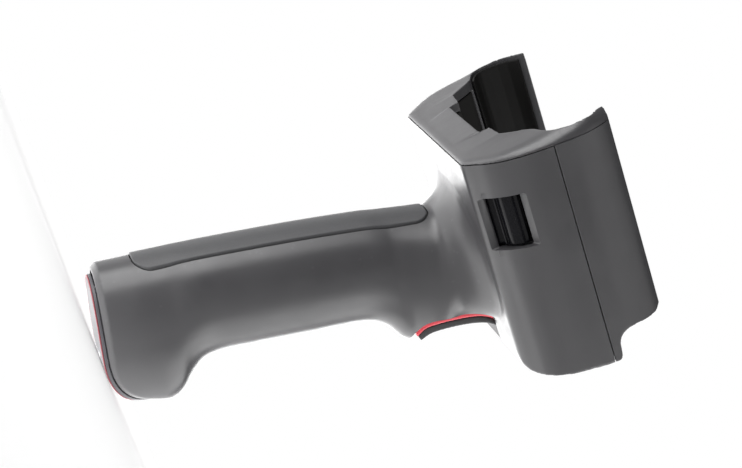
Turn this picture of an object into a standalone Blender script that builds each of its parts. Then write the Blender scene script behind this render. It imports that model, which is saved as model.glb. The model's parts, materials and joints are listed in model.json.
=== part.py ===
"""A pistol-grip handle with a trigger and a U-shaped cradle that holds a handheld mobile computer.

Frame: +X is the way the device points, +Y is the user's left, +Z is up. The origin is the centre
of the cradle floor's top face. Sizes here are in millimetres, and the helpers turn them into metres.
"""

import math

import bmesh
import bpy
from mathutils import Matrix, Vector

MM = 0.001
GAP = 0.3  # between pieces that touch

# Cradle
WALL = 2.3
SEAM_Z = 15.3  # where the upper frame meets the lower housing
RIM_BACK_X, RIM_LEAN = -33.9, 0.035  # the rim's rear face: x = RIM_BACK_X - RIM_LEAN * z
RIM_FRONT_X = -30.7
RIM_EASE = 1.76  # how far the rim's outer side draws in at its rear
UNDER_Z = -11.8  # the head's underside
HEAD_FRONT_X = 47.3
LINER_WALL = 1.5
LINER_X = (-30.3, 44.4)
HOUSING_X = (-30.4, HEAD_FRONT_X)
CAVITY_X = (-28.1, 42.4)
OUTER_KEYS = [
    (29.0, UNDER_Z), (31.6, -11.55), (33.2, -10.5), (35.2, -8.6), (38.2, -5.6), (41.4, -1.0),
    (43.3, 4.5), (44.4, 11.0), (44.9, 18.0), (45.0, 23.0), (44.4, 27.5), (43.1, 31.2), (41.6, 34.2),
    (40.2, 36.0),
]
FLOOR_HALF, STEP_Z, LEDGE_HALF = 16.6, 3.7, 25.9
LINER_PROFILE = [(0, 0), (FLOOR_HALF, 0), (17.2, STEP_Z), (LEDGE_HALF, 4.4), (31.4, 11.2), (32.8, 12.6)]
SHOULDER_PROFILE = [(34.2, 13.6), (37.6, 14.9), (40.3, 16.7), (41.5, 18.6)]
CHEEK_PROFILE = [(42.6, 22.3), (42.7, 26.0), (41.9, 29.8), (40.7, 31.6), (39.2, 33.5), (38.6, 35.4)]
SHOULDER_UNDER = [
    (44.78, SEAM_Z + GAP), (41.5, SEAM_Z + GAP), (40.2, 15.2), (37.4, 13.4), (34.2, 12.2),
]

# Grip: a point is given as u forward and w up along a raked axis through GRIP_ORIGIN
RAKE = math.radians(11.4)
GRIP_ORIGIN = (-1.0, -60.4)  # x, z
GRIP_WALL = 2.4
HEAD_FLOOR_Z = -6.0  # the grip's hollow runs up past the head's floor to here
RING_POINTS = 32
GRIP_RINGS = [  # w, back u, front u, half width
    (-79.0, -17.2, 31.4, 14.6),
    (-68.8, -17.4, 31.8, 14.8),
    (-62.6, -17.7, 32.3, 15.0),
    (-56.5, -17.9, 32.4, 15.0),
    (-52.0, -18.0, 30.2, 14.9),
    (-48.0, -18.1, 24.4, 14.8),
    (-44.0, -18.1, 20.4, 14.7),
    (-39.0, -18.2, 18.7, 14.5),
    (-27.0, -18.3, 18.3, 14.4),
    (-8.0, -18.3, 18.2, 14.3),
    (10.0, -17.9, 18.2, 14.2),
    (15.4, -17.7, 19.4, 14.3),
    (18.8, -17.4, 21.5, 14.4),
    (21.4, -17.2, 24.3, 14.5),
    (23.5, -17.1, 26.6, 14.8),
    (25.8, -16.9, 27.8, 15.2),
    (28.6, -16.7, 28.0, 15.6),
    (32.4, -16.4, 28.0, 16.3),
    (37.0, -16.2, 28.2, 17.4),
]
NECK_RINGS = [  # back (x, z), front (x, z), half width
    ((-9.9, -18.6), (30.6, -23.0), 19.0),
    ((-11.6, -15.2), (31.8, -17.5), 21.8),
    ((-14.6, -12.7), (33.0, -13.6), 25.6),
    ((-19.0, -11.2), (34.0, -11.2), 29.6),
    ((-19.0, -9.6), (34.0, -9.6), 29.6),
]
FOOT_W = -76.6  # the sole's underside
SOLE_BACK_U, SOLE_FLAT_U = -26.0, 9.0
TOE_KEYS = [  # u and w of the sole's underside where it turns up round the toe
    (SOLE_FLAT_U, FOOT_W), (14.0, -76.4), (19.0, -75.5), (23.6, -73.6), (27.4, -70.8), (30.2, -67.2),
    (31.9, -63.0), (34.0, -55.0),
]
SOLE_THICK, PLATE_THICK, ACCENT_THICK = 1.7, 1.4, 0.45  # from the underside up
PLATE_INSET, ACCENT_INSET, CORE_INSET = 1.15, 1.3, 2.5
ACCENT_WIDTH = 0.9
SOLE_BACK_INSET = 2.4
STRAP_W = (-62.0, 36.0)
STRAP_HALF = 8.3
STRAP_PROUD = 0.5
STRAP_DEPTH = 1.0

# Trigger, in the side view
PIVOT = (27.5, -6.8)
TRIGGER_HALF = 9.2
PAD_HALF = 8.4
SLOT_HALF = 9.8
PIN_R = 1.5
TRIGGER_FACE = [
    (29.2, -38.4), (27.6, -35.0), (27.6, -30.4), (28.5, -24.2), (29.5, -19.3), (30.9, -15.2),
    (33.2, -11.9), (36.2, -9.8),
]
PAD_FRONT = [
    (37.0, -10.9), (34.7, -13.5), (32.8, -17.9), (31.4, -23.6), (30.5, -29.6), (30.3, -33.6),
    (31.3, -37.4),
]
TRIGGER_REAR = [
    (33.0, -8.8), (30.4, -7.6), (29.0, -4.4), (25.6, -4.6), (24.4, -8.0), (24.1, -14.0),
    (23.5, -24.0), (23.4, -34.0), (25.2, -38.4),
]
SLOT_OUTLINE = [(14, -39.4), (36, -39.4), (44, -32), (44, -12.4), (39.6, -9.0), (24, -9.0), (14, -16)]
TRIGGER_SIDE = [  # the housing's edge beside the trigger
    (29.2, -40.6), (27.0, -39.1), (24.6, -35.8), (24.1, -31.6), (24.6, -27.1), (26.0, -20.3),
    (27.1, -16.3), (29.0, -13.4), (31.0, -12.2), (34.0, -11.9),
]
SPRING_Z = -31.0
PLUNGER_Z = -15.0
CARRIER_BACK_X = (10.0, 11.6)

# Latches, in the end view of the right-hand side, with y counted outwards. In points marked t, h,
# t runs up the slanted wall from the window's lower edge and h points out of it.
LATCH_PIVOT = (34.8, 1.2)
LATCH_X = (-18.2, -1.0)
LATCH_ARM_X = (-14.0, -5.2)
LATCH_FACE = [(3.9, -2.1), (5.2, -1.2), (7.0, -0.9), (9.0, -1.1), (10.6, -2.2)]  # t, h
LATCH_BACK = [  # t, h
    (10.5, -4.6), (7.4, -5.6), (4.4, -5.8), (0.8, -5.0), (0.8, -4.2), (2.7, -3.6), (2.6, -1.9),
    (3.3, -1.8), (3.5, -2.6),
]
LATCH_HUB = [(33.4, -1.2), (36.9, -1.2), (38.2, 1.2), (36.4, 3.4), (33.2, 3.0)]
LATCH_ARM = [(33.2, 0.4), (36.6, 1.0), (35.4, 5.6), (33.0, 10.9), (30.3, 10.6), (31.8, 8.4), (32.2, 4.6)]
WINDOW_X = (-18.8, -0.4)
WINDOW_SPAN = ((35.1, -9.2), (42.9, 3.1))  # lower and upper edge on the outer wall
WINDOW_HOLE = [  # t, h
    (0.0, -5.0), (0.0, -2.1), (-4.2, 0.2), (-4.2, 5.0), (17.4, 5.0), (17.4, 1.8), (11.2, -2.2),
    (11.2, -5.0),
]

SCREW_X, SCREW_Y = (-22.5, 37.4), 12.8
RIM_SCREW_Y, RIM_SCREW_Z = 21.0, -6.2
CARRIER_SCREW_X, CARRIER_SCREW_Y = 6.0, 7.0
BOARD_SCREW_Y, BOARD_SCREW_Z = 6.2, -22.0
FOOT_SCREW_U = (-9.0, 12.0)
CHEEK_LINING, CHEEK_LINING_X = 0.8, (-33.4, 32.6)
PAD_COUNT, PAD_PITCH = 6, 2.8

COLOURS = {  # colour, roughness, metallic
    "shell": ((0.045, 0.045, 0.048), 0.42, 0.0),
    "frame": ((0.050, 0.050, 0.053), 0.40, 0.0),
    "liner": ((0.012, 0.012, 0.013), 0.55, 0.0),
    "rubber": ((0.020, 0.020, 0.021), 0.80, 0.0),
    "red": ((0.62, 0.045, 0.055), 0.45, 0.0),
    "latch": ((0.008, 0.008, 0.010), 0.12, 0.0),
    "steel": ((0.55, 0.55, 0.57), 0.30, 1.0),
    "gold": ((0.80, 0.58, 0.22), 0.25, 1.0),
    "board": ((0.02, 0.16, 0.07), 0.50, 0.0),
    "nylon": ((0.08, 0.08, 0.085), 0.55, 0.0),
    "ribbon": ((0.62, 0.36, 0.10), 0.45, 0.0),
}


def fresh_scene():
    for obj in list(bpy.data.objects):
        bpy.data.objects.remove(obj)
    made = []
    for name in ("scan_handle", "cutters"):
        group = bpy.data.collections.new(name)
        bpy.context.scene.collection.children.link(group)
        made.append(group)
    return made


PARTS, CUTTERS = fresh_scene()


def material(key):
    found = bpy.data.materials.get(key)
    if found:
        return found
    colour, roughness, metallic = COLOURS[key]
    made = bpy.data.materials.new(key)
    made.use_nodes = True
    shader = made.node_tree.nodes["Principled BSDF"]
    shader.inputs["Base Color"].default_value = (*colour, 1)
    shader.inputs["Roughness"].default_value = roughness
    shader.inputs["Metallic"].default_value = metallic
    made.diffuse_color = (*colour, 1)
    return made


def add_mesh(name, mesh, matrix=None):
    obj = bpy.data.objects.new(name, mesh)
    PARTS.objects.link(obj)
    if matrix is not None:
        obj.matrix_world = matrix
    return obj


def finish(obj, key):
    obj.data.materials.clear()
    obj.data.materials.append(material(key))
    return obj


def boolean(obj, other, operation="DIFFERENCE", solver="EXACT"):
    """Cuts other out of obj, or joins it on, and keeps other as a hidden helper."""
    if PARTS in other.users_collection:
        PARTS.objects.unlink(other)
        CUTTERS.objects.link(other)
    other.hide_render = True
    other.display_type = "WIRE"
    step = obj.modifiers.new(other.name, "BOOLEAN")
    step.operation = operation
    step.object = other
    step.solver = solver
    return obj


def cut(obj, *others):
    for other in others:
        boolean(obj, other)
    return obj


def join(obj, *others):
    for other in others:
        boolean(obj, other, "UNION")
    return obj


def bevel(obj, width, segments=2, angle=40):
    step = obj.modifiers.new("edges", "BEVEL")
    step.width = width * MM
    step.segments = segments
    step.limit_method = "ANGLE"
    step.angle_limit = math.radians(angle)
    return obj


def closed_mesh(bm, name):
    bmesh.ops.recalc_face_normals(bm, faces=bm.faces)
    if bm.calc_volume(signed=True) < 0:
        bmesh.ops.reverse_faces(bm, faces=bm.faces)
    mesh = bpy.data.meshes.new(name)
    bm.to_mesh(mesh)
    bm.free()
    return mesh


def curve_to_mesh(curve_obj):
    """Makes a curve object a welded mesh object of the same name and place."""
    name = curve_obj.name
    bpy.context.view_layer.update()
    evaluated = curve_obj.evaluated_get(bpy.context.evaluated_depsgraph_get())
    mesh = bpy.data.meshes.new_from_object(evaluated)
    matrix = curve_obj.matrix_world.copy()
    bpy.data.objects.remove(curve_obj)
    bm = bmesh.new()
    bm.from_mesh(mesh)
    bmesh.ops.remove_doubles(bm, verts=bm.verts, dist=1e-6)
    bm.to_mesh(mesh)
    bm.free()
    return add_mesh(name, mesh, matrix)


AXES = {  # the outline's two directions and the way it is extruded
    "X": ((0, 1, 0), (0, 0, 1), (1, 0, 0)),
    "Y": ((1, 0, 0), (0, 0, 1), (0, -1, 0)),
    "Z": ((1, 0, 0), (0, 1, 0), (0, 0, 1)),
}


def prism(name, outline, low, high, axis):
    """A flat outline extruded from low to high along X (outline in y, z), Y (x, z) or Z (x, y)."""
    curve = bpy.data.curves.new(name, "CURVE")
    curve.dimensions = "2D"
    curve.fill_mode = "BOTH"
    curve.extrude = (high - low) / 2 * MM
    line = curve.splines.new("POLY")
    line.points.add(len(outline) - 1)
    for point, (a, b) in zip(line.points, outline):
        point.co = (a * MM, b * MM, 0, 1)
    line.use_cyclic_u = True
    obj = bpy.data.objects.new(name, curve)
    PARTS.objects.link(obj)
    first, second, third = (Vector(v) for v in AXES[axis])
    turn = Matrix((first, second, third)).transposed().to_4x4()
    along = Vector([abs(c) for c in third]) * ((low + high) / 2 * MM)
    obj.matrix_world = Matrix.Translation(along) @ turn
    return curve_to_mesh(obj)


def box(name, low, high):
    bm = bmesh.new()
    bmesh.ops.create_cube(bm, size=1)
    for vert in bm.verts:
        vert.co = Vector([(l + h) / 2 + c * (h - l) for l, h, c in zip(low, high, vert.co)]) * MM
    return add_mesh(name, closed_mesh(bm, name))


def cylinder(name, start, end, radius, sides=24, end_radius=None):
    start, end = Vector(start) * MM, Vector(end) * MM
    along = end - start
    bm = bmesh.new()
    bmesh.ops.create_cone(
        bm, cap_ends=True, segments=sides, radius1=radius * MM,
        radius2=(radius if end_radius is None else end_radius) * MM, depth=along.length,
    )
    turn = Vector((0, 0, 1)).rotation_difference(along).to_matrix().to_4x4()
    bm.transform(Matrix.Translation((start + end) / 2) @ turn)
    return add_mesh(name, closed_mesh(bm, name))


def screw(name, under, along, head, shank):
    """A screw whose head and shank are (length, radius), with the head's underside at under."""
    under, along = Vector(under), Vector(along).normalized()
    top = under - along * head[0]
    made = cylinder(name, top, under, head[1], 20)
    inside = under - along * (head[0] / 2)
    join(made, cylinder(name + "_shank", inside, under + along * shank[0], shank[1], 16))
    return finish(made, "steel")


def smooth(keys, steps=3):
    """Points of a Catmull-Rom curve through the keys."""
    points = []
    for i in range(len(keys) - 1):
        a, b, c, d = (Vector(keys[min(max(i + j, 0), len(keys) - 1)]) for j in (-1, 0, 1, 2))
        for s in range(steps):
            t = s / steps
            points.append(
                b + (c - a) * (t / 2) + (a * 2 - b * 5 + c * 4 - d) * (t * t / 2)
                + (b * 3 - a - c * 3 + d) * (t * t * t / 2)
            )
    points.append(Vector(keys[-1]))
    return [tuple(p) for p in points]


def offset(points, distance):
    """An open outline moved to its left by distance, with mitred corners."""
    moved = []
    for i, here in enumerate(points):
        here = Vector(here)
        before = here - Vector(points[max(i - 1, 0)])
        after = Vector(points[min(i + 1, len(points) - 1)]) - here
        sides = [Vector((-d.y, d.x)).normalized() for d in (before, after) if d.length > 1e-9]
        middle = sum(sides, Vector((0, 0))).normalized()
        moved.append(tuple(here + middle * (distance / max(middle.dot(sides[0]), 0.5))))
    return moved


def mirrored(points):
    return [(-y, z) for y, z in points]


def both_sides(half):
    """A closed outline from its left half, whose points on the centre line are dropped."""
    half = [p for p in half if p[0] > 0.01]
    return half + mirrored(half)[::-1]


def outer_profile(inset=0.0, top=None):
    points = [(0.0, UNDER_Z)] + smooth(OUTER_KEYS)
    if inset:
        points = [(0.0, UNDER_Z + inset)] + offset(points, inset)[1:]
    if top is None:
        return points
    kept = [p for p in points if p[1] < top]
    before, after = kept[-1], points[len(kept)]
    share = (top - before[1]) / (after[1] - before[1])
    return kept + [(before[0] + share * (after[0] - before[0]), top)]


def inner_profile():
    return LINER_PROFILE + SHOULDER_PROFILE + CHEEK_PROFILE


def grip_point(u, w):
    x, z = GRIP_ORIGIN
    return x + u * math.cos(RAKE) + w * math.sin(RAKE), z - u * math.sin(RAKE) + w * math.cos(RAKE)


def ring(back, front, half, inset=0.0, back_inset=0.0):
    """A rounded section between a back and a front point of the side view."""
    back, front = Vector((back[0], 0, back[1])), Vector((front[0], 0, front[1]))
    back += (front - back).normalized() * back_inset
    middle, reach = (back + front) / 2, (front - back) / 2
    reach = reach.normalized() * (reach.length - inset)
    points = []
    for i in range(RING_POINTS):
        angle = math.tau * i / RING_POINTS
        c, s = math.cos(angle), math.sin(angle)
        c, s = (math.copysign(abs(v) ** 0.86, v) for v in (c, s))
        points.append(middle + reach * c + Vector((0, (half - inset) * s, 0)))
    return points


def loft(name, rings):
    """A closed skin over rings of points, each with as many points as the next."""
    bm = bmesh.new()
    rows = [[bm.verts.new(p * MM) for p in points] for points in rings]
    for lower, upper in zip(rows, rows[1:]):
        for i in range(len(lower)):
            j = (i + 1) % len(lower)
            bm.faces.new((lower[i], lower[j], upper[j], upper[i]))
    bm.faces.new(rows[0])
    bm.faces.new(rows[-1])
    return add_mesh(name, closed_mesh(bm, name))


def grip_ring(w, back, front, half, *insets):
    return ring(grip_point(back, w), grip_point(front, w), half, *insets)


def grip_skin(name, inset=0.0):
    """The grip's surface, up into the head, moved inwards by inset."""
    rows = [grip_ring(*spec, inset) for spec in GRIP_RINGS]
    rows += [ring(*spec, inset) for spec in NECK_RINGS]
    if inset > 0:
        (back_x, _), (front_x, _), half = NECK_RINGS[-1]
        rows.append(ring((back_x, HEAD_FLOOR_Z), (front_x, HEAD_FLOOR_Z), half, inset))
    return loft(name, rows)


def sole_line(raised):
    """The sole's underside in u and w, moved up by raised."""
    return offset([(SOLE_BACK_U, FOOT_W)] + smooth(TOE_KEYS), raised)


def sole_prism(name, line):
    return prism(name, [grip_point(u, w) for u, w in line], -30, 30, "Y")


def sole_layer(name, raised, lowered, inset):
    """A layer of the sole, raised to lowered above its underside, inside the grip's foot."""
    layer = sole_prism(name, sole_line(raised) + sole_line(lowered)[::-1])
    rows = [grip_ring(*spec, inset, SOLE_BACK_INSET) for spec in GRIP_RINGS[:5]]
    return boolean(layer, loft(name + "_edge", rows), "INTERSECT")


def grip_box(name, u, y, w):
    """A box in the grip's raked directions."""
    outline = [grip_point(u[0], w[0]), grip_point(u[1], w[0]), grip_point(u[1], w[1]), grip_point(u[0], w[1])]
    return prism(name, outline, *y, "Y")


def grip_cylinder(name, u, w, radius, y=0.0, **more):
    start, end = (grip_point(u, level) for level in w)
    return cylinder(name, (start[0], y, start[1]), (end[0], y, end[1]), radius, **more)


def strap_outline(margin=0.0):
    """The long rounded outline of the back strap, seen from behind, in y and z."""
    low = grip_point(-18, STRAP_W[0])[1] - margin
    high = grip_point(-18, STRAP_W[1])[1] + margin
    half = STRAP_HALF + margin
    points = []
    for z_end, turn in ((low, math.pi), (high, 0)):
        centre = z_end + (half if z_end == low else -half)
        for i in range(13):
            angle = turn + math.pi * i / 12
            points.append((half * math.cos(angle), centre + half * math.sin(angle)))
    return points


def strap_solid(name, proud, depth, margin):
    """The part of the grip's skin inside the strap outline, from depth below it to proud of it."""
    solid = prism(name, strap_outline(margin), -60, 0, "X")
    boolean(solid, grip_skin(name + "_outside", -proud), "INTERSECT")
    return cut(solid, grip_skin(name + "_inside", depth))


def make_back_strap():
    finish(strap_solid("back_strap", STRAP_PROUD, STRAP_DEPTH, 0.0), "rubber")


def on_window(points, side):
    """Points given by t up the slanted wall and h out of it, as y and z."""
    low, high = (Vector(p) for p in WINDOW_SPAN)
    up = (high - low).normalized()
    out = Vector((up.y, -up.x))
    places = [low + up * t + out * h for t, h in points]
    return [(side * p.x, p.y) for p in places]


def latch_ribs(side):
    """Two ribs of the housing that carry a latch's pivot pin."""
    y, z = LATCH_PIVOT
    outline = [(31.6, -9.6), (35.6, -9.6), (37.2, -6.5), (37.2, z + 2.4), (32.6, z + 2.4), (31.6, z)]
    spans = ((LATCH_X[0] - 2.4, LATCH_X[0] - 0.8), (LATCH_X[1] + 0.8, LATCH_X[1] + 2.4))
    return [
        prism(f"latch_rib_{side}_{i}", [(side * a, b) for a, b in outline], *span, "X")
        for i, span in enumerate(spans)
    ]


def make_housing():
    top = outer_profile(top=SEAM_Z)
    housing = prism("main_housing", both_sides(top), *HOUSING_X, "X")
    front = [
        (HEAD_FRONT_X + 1, 16.5), (HEAD_FRONT_X - 0.1, 12.0), (46.7, 1.9), (45.9, -6.0), (44.4, -9.4),
        (41.6, -11.3), (38.0, -11.8), (38.0, -13.0), (50.0, -13.0), (50.0, 16.5),
    ]
    cut(housing, prism("chin_trim", front, -50, 50, "Y"))
    join(housing, grip_skin("grip_outside"))
    low, high = CAVITY_X
    cut(housing, prism("head_cavity", both_sides(outer_profile(WALL, top=SEAM_Z + 6)), low, high, "X"))
    cut(housing, grip_skin("grip_cavity", GRIP_WALL))
    under = offset(LINER_PROFILE, -(LINER_WALL + GAP))
    shoulder = [(33.7, 10.9), (34.6, 11.9), (37.5, 13.0), (40.3, 14.7), (42.0, 15.2), (42.0, 30.0)]
    lid = under[:-1] + shoulder
    cut(housing, prism("liner_seat", both_sides(lid), -40, 60, "X"))
    for side, tag in ((1, "left"), (-1, "right")):
        cut(housing, prism("window_" + tag, on_window(WINDOW_HOLE, side), *WINDOW_X, "X"))
        join(housing, *latch_ribs(side))
        y, z = LATCH_PIVOT
        cut(housing, cylinder("latch_bore_" + tag, (-21, side * y, z), (2, side * y, z), 1.35, 16))
    cut(housing, prism("trigger_slot", SLOT_OUTLINE, -SLOT_HALF, SLOT_HALF, "Y"))
    beside = smooth(TRIGGER_SIDE, 2) + [(60.0, TRIGGER_SIDE[-1][1]), (60.0, TRIGGER_SIDE[0][1])]
    boolean(housing, prism("trigger_side", beside, -40, 40, "Y"), solver="MANIFOLD")
    cut(housing, strap_solid("strap_recess", 3.0, STRAP_DEPTH + GAP, GAP))
    for x in SCREW_X:
        for y in (SCREW_Y, -SCREW_Y):
            tag = f"{x:.0f}_{y:.0f}"
            join(housing, cylinder("boss_" + tag, (x, y, -10.4), (x, y, -3.6), 3.0, 20))
            cut(housing, cylinder("boss_bore_" + tag, (x, y, -9.0), (x, y, -3.0), 1.35, 16))
    for side in (1, -1):
        y, z = side * RIM_SCREW_Y, RIM_SCREW_Z
        cut(housing, cylinder(f"rim_hole_{side}", (-31, y, z), (-27, y, z), 1.35, 16))
    for i, (u, half) in enumerate(zip(FOOT_SCREW_U, (10.2, 12.2))):
        join(housing, grip_box(f"foot_web_{i}", (u - 3, u + 3), (-half, half), (-73.6, -65.0)))
        cut(housing, grip_cylinder(f"foot_bore_{i}", u, (-75, -66), 1.35, sides=16))
    below = [(60.0, -50.0), (60.0, -100.0), (SOLE_BACK_U, -100.0)]
    boolean(housing, sole_prism("sole_cut", sole_line(SOLE_THICK) + below), solver="MANIFOLD")
    return finish(housing, "shell")


def rim_outline(inset):
    """The U outline of the rim; its outer side is moved in by inset."""
    outer = outer_profile(inset)
    tip = inner_profile()[-1]
    outer[-1] = (max(outer[-1][0], tip[0] + 0.5), outer[-1][1])
    half = outer[1:] + inner_profile()[:0:-1]
    return half + mirrored(half)[::-1]


def make_rim():
    rows = []
    for share, inset in ((0.0, 0.0), (0.35, 0.0), (0.75, 0.8), (1.0, RIM_EASE)):
        row = []
        for y, z in rim_outline(inset):
            back = RIM_BACK_X - RIM_LEAN * z
            row.append(Vector((RIM_FRONT_X + (back - RIM_FRONT_X) * share, y, z)))
        rows.append(row)
    return loft("rim", rows)


def cheek_outline(side):
    """The section of a cheek wall with its inward shoulder, in y and z."""
    outer = [p for p in outer_profile() if p[1] > SEAM_Z + GAP + 0.2]
    inner = (SHOULDER_PROFILE + CHEEK_PROFILE)[::-1]
    outline = [SHOULDER_UNDER[0]] + outer + inner + SHOULDER_UNDER[:0:-1]
    return [(side * y, z) for y, z in outline]


def make_upper_frame():
    frame = make_rim()
    frame.name = "upper_frame"
    for side, tag in ((1, "left"), (-1, "right")):
        cheek = prism("cheek_" + tag, cheek_outline(side), RIM_FRONT_X - 0.6, HEAD_FRONT_X, "X")
        boolean(frame, cheek, "UNION", "MANIFOLD")  # EXACT leaves open edges where the walls are flush
    notch = [
        (34.0, 37.0), (36.2, 35.0), (37.1, 32.5), (37.1, 24.4), (37.7, 22.0), (39.0, 20.0), (41.2, 18.8),
        (45.2, 18.4), (46.7, 17.8), (47.2, 16.8), (47.3, 15.0), (52.0, 15.0), (52.0, 40.0), (34.0, 40.0),
    ]
    boolean(frame, prism("front_notch", notch, -60, 60, "Y"), solver="MANIFOLD")
    for side in (1, -1):
        y, z = side * RIM_SCREW_Y, RIM_SCREW_Z
        bore = cylinder(f"rim_bore_{side}", (-31.7, y, z), (-30, y, z), 1.35, 16)
        boolean(frame, bore, solver="MANIFOLD")
    return finish(frame, "frame")


def make_liner():
    """The black floor that the device's back rests on, with its rails, slopes and screw pockets."""
    under = offset(LINER_PROFILE, -LINER_WALL)
    liner = prism("cradle_liner", both_sides(under + LINER_PROFILE[::-1]), *LINER_X, "X")
    for x in SCREW_X:
        for y in (SCREW_Y, -SCREW_Y):
            tag = f"{x:.0f}_{y:.0f}"
            join(liner, cylinder("pocket_wall_" + tag, (x, y, -3.2), (x, y, -0.4), 4.2, 20))
            cut(liner, cylinder("pocket_" + tag, (x, y, -1.6), (x, y, 1.0), 3.2, 20))
            cut(liner, cylinder("pocket_hole_" + tag, (x, y, -4.0), (x, y, -1.0), 1.5, 16))
    for side, tag in ((1, "left"), (-1, "right")):
        x, y = CARRIER_SCREW_X, side * CARRIER_SCREW_Y
        join(liner, cylinder("carrier_boss_" + tag, (x, y, -7.4), (x, y, -1.0), 2.6, 20))
        cut(liner, cylinder("carrier_bore_" + tag, (x, y, -8.0), (x, y, -2.4), 1.15, 16))
        slot = [(24.0, 6.4), (35.0, 6.4), (36.0, 12.4), (24.0, 12.4)]
        outline = [(side * a, b) for a, b in slot]
        cut(liner, prism("latch_slot_" + tag, outline, LATCH_ARM_X[0] - 0.8, LATCH_ARM_X[1] + 0.8, "X"))
    cut(liner, box("contact_opening", (19.7, -9.3, -4), (32.3, 9.3, 2)))
    return finish(liner, "liner")


def make_cheek_pads():
    """The black lining of each cheek's inside."""
    wall = SHOULDER_PROFILE + CHEEK_PROFILE[:-1]
    section = offset(wall, GAP + CHEEK_LINING) + offset(wall, GAP)[::-1]
    for side, tag in ((1, "left"), (-1, "right")):
        outline = [(side * y, z) for y, z in section]
        finish(prism("cheek_pad_" + tag, outline, *CHEEK_LINING_X, "X"), "rubber")


def make_contacts():
    strip = box("contact_strip", (20.0, -9.0, -3.0), (32.0, 9.0, -0.2))
    for i in range(PAD_COUNT):
        y = (i - (PAD_COUNT - 1) / 2) * PAD_PITCH
        cut(strip, box(f"contact_pocket_{i}", (21.8, y - 1.0, -1.2), (30.2, y + 1.0, 1.0)))
        finish(box(f"contact_pad_{i + 1}", (22.0, y - 0.8, -0.9), (30.0, y + 0.8, 0.15)), "gold")
    finish(strip, "nylon")


def make_cradle_screws():
    places = [(x, y) for x in SCREW_X for y in (SCREW_Y, -SCREW_Y)]
    for i, (x, y) in enumerate(places):
        screw(f"cradle_screw_{i + 1}", (x, y, -1.3), (0, 0, -1), (1.1, 2.7), (7.1, 1.1))


def make_rim_screws():
    for side, tag in ((1, "left"), (-1, "right")):
        place = (-27.8, side * RIM_SCREW_Y, RIM_SCREW_Z)
        screw("rim_screw_" + tag, place, (-1, 0, 0), (1.4, 2.3), (3.5, 1.05))


def make_latches():
    y, z = LATCH_PIVOT
    for side, tag in ((1, "left"), (-1, "right")):
        button = on_window(LATCH_FACE + LATCH_BACK, side)
        arm, hub = ([(side * a, b) for a, b in outline] for outline in (LATCH_ARM, LATCH_HUB))
        latch = prism("latch_" + tag, button, *LATCH_X, "X")
        join(latch, prism("latch_hub_" + tag, hub, *LATCH_X, "X"))
        join(latch, prism("latch_arm_" + tag, arm, *LATCH_ARM_X, "X"))
        cut(latch, cylinder("latch_eye_" + tag, (-22, side * y, z), (3, side * y, z), 1.3, 16))
        origin_at(latch, (LATCH_X[0], side * y, z))
        finish(latch, "latch")
        pin = cylinder("latch_pin_" + tag, (-20.4, side * y, z), (1.2, side * y, z), 1.05, 16)
        finish(pin, "steel")


def origin_at(obj, place):
    """Puts the object's origin on its joint without moving its shape."""
    shift = Vector(place) * MM
    obj.data.transform(Matrix.Translation(-(obj.matrix_world.inverted() @ shift)))
    turn = obj.matrix_world.to_3x3().to_4x4()
    obj.matrix_world = Matrix.Translation(shift) @ turn
    return obj


def coil(name, start, end, radius, wire, turns):
    """A spring of round wire with its axis from start to end."""
    start, end = Vector(start), Vector(end)
    along = (end - start).normalized()
    first = along.orthogonal().normalized()
    second = along.cross(first)
    curve = bpy.data.curves.new(name, "CURVE")
    curve.dimensions = "3D"
    curve.bevel_depth = wire / 2 * MM
    curve.bevel_resolution = 1
    curve.use_fill_caps = True
    line = curve.splines.new("POLY")
    count = turns * 12
    line.points.add(count)
    for i, point in enumerate(line.points):
        angle = math.tau * i / 12
        share = i / count
        place = start + (end - start) * share
        place += (first * math.cos(angle) + second * math.sin(angle)) * radius
        point.co = (*(place * MM), 1)
    obj = bpy.data.objects.new(name, curve)
    PARTS.objects.link(obj)
    return curve_to_mesh(obj)


def make_latch_springs():
    for side, tag in ((1, "left"), (-1, "right")):
        start, end = ((-9.6, side * y, -6.0) for y in (30.6, 26.8))
        spring = coil("latch_spring_" + tag, start, end, 1.7, 0.35, 4)
        finish(spring, "steel")
        seat = box("spring_seat_" + tag, (-13.0, min(side * 24.6, side * 26.0), -9.8),
                   (-6.2, max(side * 24.6, side * 26.0), -3.6))
        boolean(bpy.data.objects["main_housing"], seat, "UNION")


def make_trigger():
    outline = TRIGGER_FACE + TRIGGER_REAR
    trigger = bevel(prism("trigger", outline, -TRIGGER_HALF, TRIGGER_HALF, "Y"), 0.4, 1)
    x, z = PIVOT
    cut(trigger, cylinder("trigger_eye", (x, -12, z), (x, 12, z), PIN_R + 0.2, 20))
    well = (21.0, -3.2, SPRING_Z - 3.2), (24.6, 3.2, SPRING_Z + 3.2)
    cut(trigger, box("trigger_spring_well", *well))
    origin_at(trigger, (x, 0, z))
    finish(trigger, "red")
    rear = [(a + 0.25, b - 0.1) for a, b in TRIGGER_FACE[::-1]]
    pad = prism("trigger_pad", rear[1:-1] + [(29.5, -37.9)] + PAD_FRONT[::-1], -PAD_HALF, PAD_HALF, "Y")
    origin_at(bevel(pad, 1.0, 3), (x, 0, z))
    finish(pad, "rubber")
    finish(cylinder("trigger_pin", (x, -11.6, z), (x, 11.6, z), PIN_R, 20), "steel")
    spring = coil("trigger_spring", (CARRIER_BACK_X[1] + 0.6, 0, SPRING_Z), (24.2, 0, SPRING_Z), 2.2, 0.5, 6)
    finish(spring, "steel")


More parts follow.
